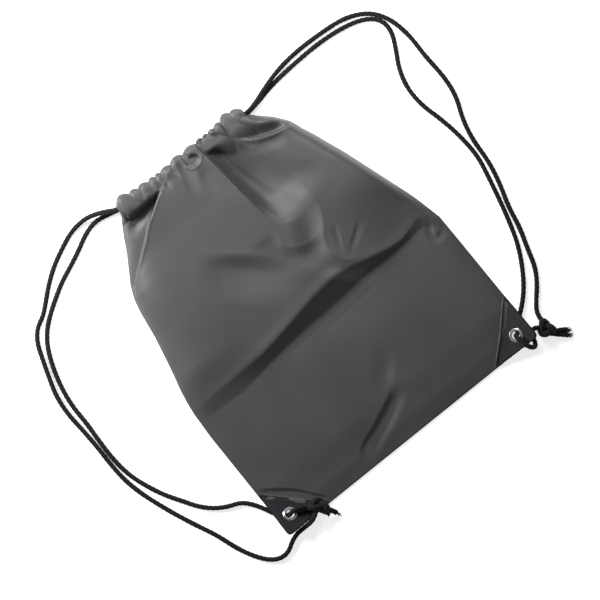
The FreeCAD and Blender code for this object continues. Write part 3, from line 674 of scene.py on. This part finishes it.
# ------------------------ corner patches
EYELET = np.array((1.8, 17.47))  # place on the patch: along its long edge, and from it to the tip
HOLE = 4.95
PATCH_FRONT = (1.05, 1.98)       # the levels between which each patch sheet lies, out of the corner
PATCH_BACK = (0.02, 0.72)
PATCH_OVER = (0.6, 0.8, 0.3)     # how far a patch goes past its corner: ends, long edge, tip
PATCH_ROUND = (1.2, 1.2, 6.0)    # rounding of its two ends and its tip
RIM_POINTS = 160
RIM_RINGS = 22
EDGE_TURN = 0.35                 # how far the sheet's edges turn in over their last millimetre


def outwards(side):
    """The level direction from the bag to a lower corner's tip."""
    return np.array([side, -1.0, 0.0]) / math.sqrt(2)


def corner_frame(side):
    """Origin at the middle of the long edge, X along it, Y up the slope to the tip, Z out of it."""
    middle = np.array([side * (HALF_WIDTH - PATCH_LEG / 2), BOTTOM + PATCH_LEG / 2, 0.0])
    along = np.cross(outwards(side), (0, 0, 1))
    slope = outwards(side) * math.cos(TILT) + np.array([0, 0, math.sin(TILT)])
    return middle, along, slope, np.cross(along, slope)


def patch_outline():
    """The triangle with its corners rounded, as evenly spaced points."""
    ends, base, tip = PATCH_OVER
    corners = np.array([(-PATCH_HALF - ends, -base), (PATCH_HALF + ends, -base),
                        (0.0, PATCH_REACH + tip)])
    border = []
    for index, radius in enumerate(PATCH_ROUND):
        here = corners[index]
        a = here + unit(corners[index - 1] - here) * radius
        b = here + unit(corners[(index + 1) % 3] - here) * radius
        for t in np.linspace(0, 1, 7):
            border.append((1 - t) ** 2 * a + 2 * t * (1 - t) * here + t * t * b)
    return resample(np.array(border), RIM_POINTS, closed=True)


def patch_swell(spot):
    """How far a patch stands off its level: raised along its long edge, and slightly wavy."""
    u, v = spot
    lift = 0.36 * math.exp(-max(v, 0.0) / 3.0)
    wave = 0.10 * math.sin(u / 7.0) * math.exp(-((v - 3.0) / 9.0) ** 2)
    return lift + wave * float(smooth((np.linalg.norm(spot - EYELET) - 8.0) / 6.0))


def patch_piece(name, side, levels):
    """A triangular sheet with a round hole, a rounded tip, and turned edges."""
    middle, along, slope, out = corner_frame(side)
    outer = patch_outline()
    points = []
    for level, sign in zip(reversed(levels), (1, -1)):
        for t in np.linspace(0, 1, RIM_RINGS):
            for place in outer:
                rim = EYELET + unit(place - EYELET) * HOLE
                spot = rim + (place - rim) * t
                near_edge = max(0.0, 1 - np.linalg.norm(place - spot))
                lift = level - EDGE_TURN * near_edge ** 2 * sign + patch_swell(spot)
                points.append(middle + along * spot[0] + slope * spot[1] + out * lift)
    size = RIM_RINGS * RIM_POINTS
    sheet = grid_faces(RIM_RINGS, RIM_POINTS, around=True)
    faces = flipped(sheet) + [tuple(size + i for i in face) for face in sheet]
    for ring, outside in ((0, False), (RIM_RINGS - 1, True)):
        for step in range(RIM_POINTS):
            a = ring * RIM_POINTS + step
            b = ring * RIM_POINTS + (step + 1) % RIM_POINTS
            wall = (a, b, b + size, a + size)
            faces.append(tuple(reversed(wall)) if outside else wall)
    return new_mesh(name, points, faces)


def welt(name, side):
    """The cloth's turned edge, standing up as a thin roll along a patch's long edge."""
    middle, along, _, _ = corner_frame(side)
    towards = outwards(side)
    upwards = np.array([0, 0, 1.0])
    around, count, radius = 10, 120, 0.85
    points = []
    for t in np.linspace(0, 1, count):
        spot = middle + along * (PATCH_HALF - 1.0) * (2 * t - 1)
        spot = spot - towards * (1.3 + 0.5 * math.sin(9 * t))
        x, y = spot[:1], spot[1:2]
        left, right = outline_at(y)
        base = front_height(x, y, x - left, right - x)[0] + corner_rise(x, y)[0]
        spot[2] = base + CLOTH_THICK
        swell = radius * (1 + 0.18 * math.sin(23 * t)) * min(1.0, 9 * t + 0.2, 9 * (1 - t) + 0.2)
        for step in range(around):
            angle = 2 * math.pi * step / around
            points.append(spot + swell * (towards * math.cos(angle) + upwards * math.sin(angle)))
    return new_mesh(name, points, grid_faces(count, around, around=True))


right_welt = welt("right_turned_edge", 1)

patches = {}
for side, word in ((-1, "left"), (1, "right")):
    patches[word + "_front"] = patch_piece(f"{word}_patch_front", side, PATCH_FRONT)
    patches[word + "_back"] = patch_piece(f"{word}_patch_back", side, PATCH_BACK)


# ------------------------ knots
KNOT_STEPS = 220
KNOT_RADIUS = 3.2
TAIL_RADIUS = 2.85
YARNS = 14
YARN_RADIUS = 0.42
YARN_LOWEST = 0.7


def knot_line(centre, long_way, short_way, radii):
    """An overhand knot: a closed three-crossing line flattened into the knot's bulk."""
    up = np.cross(long_way, short_way)
    line = []
    for step in range(KNOT_STEPS):
        t = 2 * math.pi * step / KNOT_STEPS
        a = (math.sin(t) + 2 * math.sin(2 * t)) / 3
        b = (math.cos(t) - 2 * math.cos(2 * t)) / 3
        c = -math.sin(3 * t)
        line.append(np.array(centre) + long_way * a * radii[0] + short_way * b * radii[1]
                    + up * c * radii[2])
    line += line[:2]
    return np.array(line)


def join(name, pieces):
    """One object from several."""
    points, faces = [], []
    for piece in pieces:
        base = len(points)
        points += [tuple(v.co / MM) for v in piece.data.vertices]
        faces += [tuple(base + i for i in polygon.vertices) for polygon in piece.data.polygons]
        mesh = piece.data
        bpy.data.objects.remove(piece)
        bpy.data.meshes.remove(mesh)
    return new_mesh(name, points, faces)


def frayed_end(start, direction, seed):
    """Loose yarns that spread from a cut end."""
    rng = np.random.default_rng(seed)
    direction = unit(direction)
    yarns = []
    for number in range(YARNS):
        bend = rng.normal(0, 0.22, 3)
        reach = rng.uniform(2.4, 4.6)
        offset = rng.normal(0, 0.9, 3)
        path = np.array([start + offset * (0.8 + 0.5 * t) + (direction + bend * t) * reach * t
                         for t in np.linspace(0, 1, 5)])
        path[:, 2] = np.maximum(path[:, 2], YARN_LOWEST)
        yarns.append(twisted_cord(f"yarn_{seed}_{number}", path, radius=YARN_RADIUS,
                                  spacing=0.8, around=6))
    return yarns


def knot_piece(name, centre, long_way, short_way, radii, tails, seed):
    """A tied knot with its tails and their frayed ends, in one object."""
    line = knot_line(centre, unit(long_way), unit(short_way), radii)
    pieces = [twisted_cord(name + "_body", line, radius=KNOT_RADIUS, spacing=0.8)]
    for number, route in enumerate(tails):
        line = follow(route, 10)
        pieces.append(twisted_cord(f"{name}_tail_{number}", line, radius=TAIL_RADIUS, spacing=0.7))
        last = line[-1] - line[-2]
        pieces += frayed_end(line[-1] - 0.5 * last, line[-1] - line[-4], seed + number)
    return join(name, pieces)


RIGHT_TAILS = [
    [(183, -198, 6.5), (188, -203, 5.6), (194, -206, 4.2), (199.5, -210.0, 3.2)],
    [(182, -200, 5.5), (186.5, -206, 4.6), (191.5, -210, 3.6), (196.5, -215.0, 3.2)],
]
LEFT_TAILS = [
    [(-123, -195, 9.0), (-120, -199, 8.6), (-117.5, -203, 7.0), (-115.5, -207.5, 5.2)],
    [(-127, -193, 8.2), (-125.5, -197, 7.4), (-124.0, -200.5, 6.4)],
]
LEFT_KNOT_ON_PATCH = (-26.9, 6.6, 7.6)  # in the left corner's own frame
corner, corner_along, corner_slope, corner_out = corner_frame(-1)
left_centre = corner + np.array(LEFT_KNOT_ON_PATCH) @ np.array([corner_along, corner_slope, corner_out])
right_knot = knot_piece("right_knot_tied", (182.0, -194.5, 7.1), (-0.17, 0.98, 0.0), (0.98, 0.17, 0.0),
                        (9.4, 7.2, 3.2), RIGHT_TAILS, seed=31)
left_knot = knot_piece("left_knot_tied", left_centre, -corner_along, corner_slope,
                       (10.4, 5.8, 2.6), LEFT_TAILS, seed=57)


# ------------------------ sewing
STITCH_THICK = 0.34
STITCH_BOW = 0.16
PATCH_PITCH = 3.4
PATCH_INSET = 2.8        # from the patch's edge to its seam
SEAM_PLACE = 180.4       # the channels' seam: along the bag, and where it starts and ends across it
SEAM_ENDS = (-88, 70)
SEAM_PITCH = 2.9
RAY_START = 0.06         # metres above or below the bag, well clear of it


def stitch(start, end, out):
    """One thread stitch: a small bowed bead between two needle holes."""
    way = end - start
    side = np.cross(out, unit(way))
    points = []
    rings, around = 6, 8
    for t in np.linspace(0, 1, rings):
        swell = STITCH_THICK * math.sin(math.pi * (0.08 + 0.84 * t)) ** 0.5
        centre = start + way * t + out * STITCH_BOW * math.sin(math.pi * t)
        for step in range(around):
            angle = 2 * math.pi * step / around
            points.append(centre + (side * math.cos(angle) + out * math.sin(angle) * 0.6) * swell)
    faces = grid_faces(rings, around, around=True)
    faces.append(tuple(range(around - 1, -1, -1)))
    faces.append(tuple((rings - 1) * around + step for step in range(around)))
    return points, faces


def stitches(name, runs):
    """All the stitches of one seam, each its own bead, in one object."""
    points, faces = [], []
    for start, end, out in runs:
        base = len(points)
        more, sides = stitch(start, end, out)
        points += more
        faces += [tuple(base + i for i in side) for side in sides]
    return new_mesh(name, points, faces)


def patch_runs(side):
    """Round the front of a patch, and along its long edge behind."""
    middle, along, slope, out = corner_frame(side)
    angle = math.atan2(PATCH_REACH, PATCH_HALF)
    end = PATCH_HALF - PATCH_INSET / math.tan(angle / 2)
    tip = PATCH_REACH - PATCH_INSET / math.cos(angle)
    corners = np.array([(-end, PATCH_INSET), (end, PATCH_INSET), (0.0, tip)])
    runs = []
    for level, pairs, facing in ((2.12, ((0, 1), (1, 2), (2, 0)), 1), (-0.1, ((0, 1),), -1)):
        for first, last in pairs:
            a, way = corners[first], corners[last] - corners[first]
            count = int(np.linalg.norm(way) // PATCH_PITCH)
            for number in range(count):
                ends = [a + way * (number + part) / count for part in (0.12, 0.86)]
                ends = [middle + along * u + slope * v + out * level for u, v in ends]
                if ends[0][2] > 0.5:
                    runs.append((ends[0], ends[1], out * facing))
    return runs


patch_threads = {word: stitches(f"{word}_patch_thread", patch_runs(side))
                 for side, word in ((-1, "left"), (1, "right"))}


def seam_runs(piece, above):
    """Stitches that follow a channel's own surface along its seam; above is 1 or -1."""
    spots = []
    for x in np.arange(*SEAM_ENDS, SEAM_PITCH):
        origin = Vector((x * MM, SEAM_PLACE * MM, RAY_START * above))
        hit, place, normal, _ = piece.ray_cast(origin, Vector((0, 0, -above)))
        if hit:
            spots.append((np.array(place) / MM, np.array(normal)))
    runs = []
    for (here, normal), (there, next_normal) in zip(spots, spots[1:]):
        step = there - here
        if np.linalg.norm(step) < 2.5 * SEAM_PITCH:
            runs.append((here + step * 0.12, here + step * 0.85, unit(normal + next_normal)))
    return runs


front_thread = stitches("front_hem_thread", seam_runs(front_hem, 1))
back_thread = stitches("back_hem_thread", seam_runs(back_hem, -1))


# ------------------------ materials
def feed(tree, target, inputs):
    """Give a node's inputs their values, or link them where the value is another node's output."""
    for name, value in inputs.items():
        if isinstance(value, bpy.types.NodeSocket):
            tree.links.new(value, target.inputs[name])
        else:
            target.inputs[name].default_value = value


def node(tree, kind, inputs, **settings):
    made = tree.nodes.new(kind)
    for name, value in settings.items():
        setattr(made, name, value)
    feed(tree, made, inputs)
    return made


def material(name):
    """A new material, its node tree, its shader, and places on the object for its textures."""
    made = bpy.data.materials.new(name)
    made.use_nodes = True
    tree = made.node_tree
    place = node(tree, "ShaderNodeTexCoord", {}).outputs["Object"]
    return made, tree, tree.nodes["Principled BSDF"], place


def noise(tree, place, scale, detail):
    inputs = {"Vector": place, "Scale": scale, "Detail": detail}
    return node(tree, "ShaderNodeTexNoise", inputs).outputs["Fac"]


def wave(tree, place, direction, inputs):
    return node(tree, "ShaderNodeTexWave", {"Vector": place, **inputs},
                wave_type="BANDS", bands_direction=direction).outputs["Fac"]


def tones(tree, factor, low, high, stops=(0.0, 1.0)):
    """A colour that goes from low to high between two stops of a factor."""
    made = node(tree, "ShaderNodeValToRGB", {"Fac": factor})
    for element, stop, colour in zip(made.color_ramp.elements, stops, (low, high)):
        element.position = stop
        element.color = (*colour, 1)
    return made.outputs["Color"]


def between(tree, factor, low, high):
    inputs = {"Value": factor, "To Min": low, "To Max": high}
    return node(tree, "ShaderNodeMapRange", inputs).outputs["Result"]


def bump(tree, height, strength, distance, **more):
    inputs = {"Height": height, "Strength": strength, "Distance": distance, **more}
    return node(tree, "ShaderNodeBump", inputs).outputs["Normal"]


def cloth_material():
    """Coated plain-weave nylon: dark grey, smooth, with a soft broad shine."""
    made, tree, shader, place = material("coated_nylon")
    cloud = noise(tree, place, 9.0, 5.0)
    turned = node(tree, "ShaderNodeMapping", {"Vector": place, "Rotation": (0.0, 0.0, 0.05)})
    warp, weft = (wave(tree, turned.outputs["Vector"], direction, {"Scale": 700.0, "Distortion": 0.6})
                  for direction in ("X", "Y"))
    weave = node(tree, "ShaderNodeMath", {0: warp, 1: weft}, operation="MULTIPLY").outputs["Value"]
    base = tones(tree, cloud, (0.060, 0.060, 0.0615), (0.078, 0.078, 0.0795), (0.3, 0.72))
    shade = node(tree, "ShaderNodeMixRGB", {"Fac": 0.16, "Color1": base, "Color2": weave},
                 blend_type="MULTIPLY")
    crinkle = bump(tree, noise(tree, place, 55.0, 4.0), 0.10, 0.002)
    feed(tree, shader, {
        "Base Color": shade.outputs["Color"], "Roughness": between(tree, cloud, 0.44, 0.56),
        "Normal": bump(tree, weave, 0.22, 0.00012, Normal=crinkle),
        "Specular IOR Level": 0.5, "Sheen Weight": 0.05, "Sheen Roughness": 0.4,
    })
    return made


def patch_material():
    """Black coated sheet with a fine pebbled grain and slightly rubbed ridges."""
    made, tree, shader, place = material("black_coated_sheet")
    grain = node(tree, "ShaderNodeTexVoronoi", {"Vector": place, "Scale": 1100.0}, feature="F1")
    worn = noise(tree, place, 60.0, 6.0)
    feed(tree, shader, {
        "Base Color": tones(tree, worn, (0.0055, 0.005, 0.0075), (0.012, 0.011, 0.016), (0.35, 0.75)),
        "Roughness": between(tree, worn, 0.40, 0.58),
        "Normal": bump(tree, grain.outputs["Distance"], 0.35, 0.0002),
        "Specular IOR Level": 0.22,
    })
    return made


def cord_material():
    """Matt black spun yarn."""
    made, tree, shader, place = material("black_cord_yarn")
    fibre = noise(tree, place, 1500.0, 3.0)
    feed(tree, shader, {
        "Base Color": tones(tree, fibre, (0.005, 0.005, 0.0055), (0.017, 0.017, 0.018), (0.3, 0.75)),
        "Normal": bump(tree, fibre, 0.6, 0.0004),
        "Roughness": 0.85, "Specular IOR Level": 0.16, "Sheen Weight": 0.06,
    })
    return made


def thread_material():
    """Black sewing thread, with a painted highlight on the crowns of its twist."""
    made, tree, shader, place = material("sewing_thread")
    # painted highlight: diagonal bands lighten the thread's colour where the crowns of its twist would
    # catch the light
    twist_highlight = wave(tree, place, "DIAGONAL", {"Scale": 900.0})
    feed(tree, shader, {
        "Base Color": tones(tree, twist_highlight, (0.016, 0.016, 0.017), (0.045, 0.045, 0.047)),
        "Roughness": 0.6,
    })
    return made


def nickel_material():
    """Bright nickel plate with light handling marks."""
    made, tree, shader, place = material("nickel_plate")
    marks = noise(tree, place, 420.0, 4.0)
    feed(tree, shader, {
        "Base Color": tones(tree, marks, (0.72, 0.70, 0.68), (0.86, 0.84, 0.82)),
        "Roughness": between(tree, marks, 0.12, 0.3), "Metallic": 1.0,
    })
    return made


def dress(piece, made):
    piece.data.materials.clear()
    piece.data.materials.append(made)


cloth = cloth_material()
sheet = patch_material()
yarn = cord_material()
thread = thread_material()
nickel = nickel_material()

for piece in (front, back, front_hem, back_hem, right_welt):
    dress(piece, cloth)
for piece in patches.values():
    dress(piece, sheet)
for piece in (right_cord, left_cord, right_knot, left_knot):
    dress(piece, yarn)
for piece in list(patch_threads.values()) + [front_thread, back_thread]:
    dress(piece, thread)
for word in ("left", "right"):
    for kind in ("eyelet", "eyelet_washer"):
        dress(bpy.data.objects[f"{word}_{kind}"], nickel)


# ------------------------ floor and light
FLOOR_REACH = 3.0
SKY_STRENGTH = 0.15
LAMP_SIZE = 0.30
LAMPS = {"key": ((-0.47, 0.65, 0.42), 11.2), "top": ((0.22, 0.44, 0.40), 3.0)}  # place and watts


def studio():
    """A pale floor, a broad key from the picture's left, a weaker lamp from its top, an even sky."""
    mesh = bpy.data.meshes.new("floor")
    corners = [(a * FLOOR_REACH, b * FLOOR_REACH, 0) for a, b in ((-1, -1), (1, -1), (1, 1), (-1, 1))]
    mesh.from_pydata(corners, [], [(0, 1, 2, 3)])
    floor = bpy.data.objects.new("floor", mesh)
    bpy.context.scene.collection.objects.link(floor)
    made, tree, shader, _ = material("pale_floor")
    feed(tree, shader, {
        "Base Color": (0.9, 0.9, 0.9, 1), "Roughness": 0.9, "Specular IOR Level": 0.1,
        "Emission Color": (1, 1, 1, 1), "Emission Strength": 0.7,
    })
    dress(floor, made)

    world = bpy.data.worlds.new("sky")
    bpy.context.scene.world = world
    world.use_nodes = True
    sky = {"Color": (1, 1, 1, 1), "Strength": SKY_STRENGTH}
    feed(world.node_tree, world.node_tree.nodes["Background"], sky)

    for name, (place, power) in LAMPS.items():
        data = bpy.data.lights.new(name, "AREA")
        data.shape = "SQUARE"
        data.size = LAMP_SIZE
        data.energy = power
        lamp = bpy.data.objects.new(name, data)
        bpy.context.scene.collection.objects.link(lamp)
        lamp.location = place
        lamp.rotation_euler = (-Vector(place)).to_track_quat("-Z", "Y").to_euler()


studio()


# ------------------------ placing and ties
# The soft pieces get their placement baked into their points, and the patches, their threads,
# the knots and the turned edge are tied to the bag's body.
for piece in (front, back, front_hem, back_hem, front_thread, back_thread, right_cord, left_cord):
    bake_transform(piece)
for piece in list(patches.values()) + list(patch_threads.values()) + [right_knot, left_knot, right_welt]:
    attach(piece, ROOT)

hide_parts("front_panel")
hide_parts("back_panel")
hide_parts("front_hem", "front_hem_end")
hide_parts("back_hem", "back_hem_end")
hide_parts("front_hem_stitching")
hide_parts("back_hem_stitching")
for word in ("left", "right"):
    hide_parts(f"{word}_corner_patch_front")
    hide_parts(f"{word}_corner_patch_back")
    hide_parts(f"{word}_patch_stitching")
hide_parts("right_cord")
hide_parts("left_cord")
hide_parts("right_knot")
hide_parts("left_knot")
